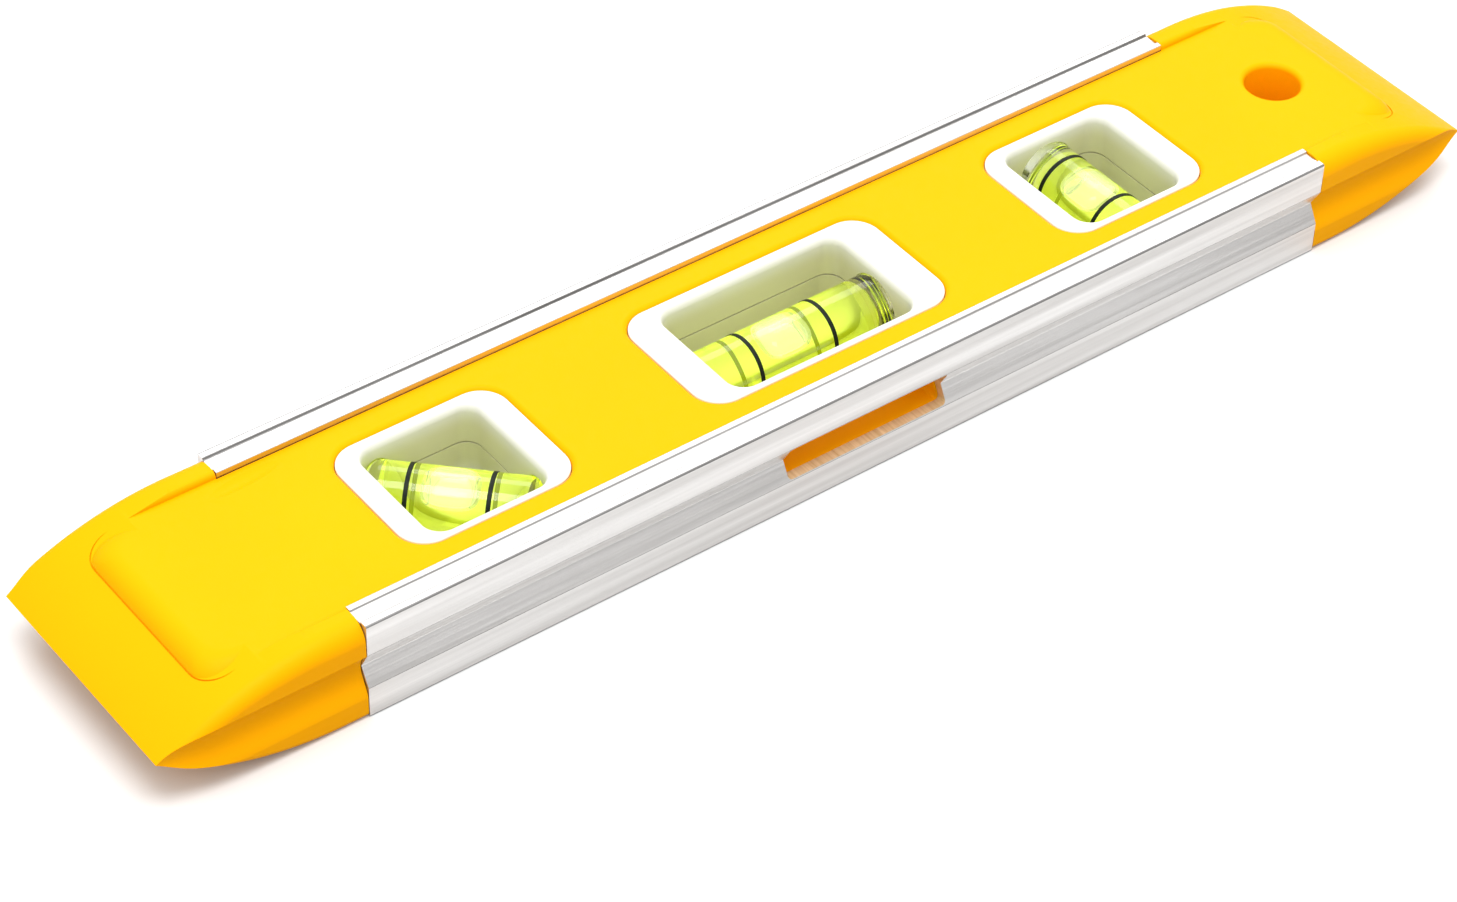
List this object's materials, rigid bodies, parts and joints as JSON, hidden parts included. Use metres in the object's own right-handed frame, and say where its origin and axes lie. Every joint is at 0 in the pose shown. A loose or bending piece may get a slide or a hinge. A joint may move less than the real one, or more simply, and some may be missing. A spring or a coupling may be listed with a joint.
{
  "type": "spirit level",
  "caption": "Torpedo spirit level with boat-shaped ends, grooved aluminium edge rails and bubble vials for level, plumb and diagonal in framed windows.",
  "frame": {"origin": "middle of the length and width, on the surface that the level's back lies on", "axes": "+Z out of the front face, +X along the length towards the hang hole, -Y out of the slotted working edge"},
  "size_m": [0.23, 0.0412, 0.0163],
  "materials": {
    "yellow_plastic": "smooth satin moulding",
    "brushed_aluminium": "lengthwise brushed, clear anodised",
    "white_plastic": "smooth white moulding",
    "clear_acrylic": "polished clear acrylic",
    "green_liquid": "clear yellow-green liquid",
    "air": "air bubble",
    "black_paint": "painted ring line"
  },
  "bodies": {
    "level": {"body": "yellow_plastic", "rail_near": "brushed_aluminium", "rail_far": "brushed_aluminium", "plumb_45_frame_front": "white_plastic", "plumb_45_frame_back": "white_plastic", "plumb_45_tube": "clear_acrylic", "plumb_45_plug": "clear_acrylic", "plumb_45_liquid": "green_liquid", "plumb_45_mark_left": "black_paint", "plumb_45_mark_right": "black_paint", "level_frame_front": "white_plastic", "level_frame_back": "white_plastic", "level_tube": "clear_acrylic", "level_plug": "clear_acrylic", "level_liquid": "green_liquid", "level_mark_left": "black_paint", "level_mark_right": "black_paint", "plumb_90_frame_front": "white_plastic", "plumb_90_frame_back": "white_plastic", "plumb_90_tube": "clear_acrylic", "plumb_90_plug": "clear_acrylic", "plumb_90_liquid": "green_liquid", "plumb_90_mark_left": "black_paint", "plumb_90_mark_right": "black_paint"},
    "bubble_45": {"plumb_45_bubble": "air"},
    "bubble_level": {"level_bubble": "air"},
    "bubble_90": {"plumb_90_bubble": "air"}
  },
  "joints": [
    {"name": "bubble_45_slide", "type": "slide", "parent": "level", "child": "bubble_45", "axis": [0.7071, -0.7071, 0], "range_m": [-0.005, 0.0055], "stiffness_N_per_m": 0.2},
    {"name": "bubble_level_slide", "type": "slide", "parent": "level", "child": "bubble_level", "axis": [1, 0, 0], "range_m": [-0.0103, 0.0103], "stiffness_N_per_m": 0.2},
    {"name": "bubble_90_slide", "type": "slide", "parent": "level", "child": "bubble_90", "axis": [0, -1, 0], "range_m": [-0.0035, 0.0035], "stiffness_N_per_m": 0.2}
  ]
}
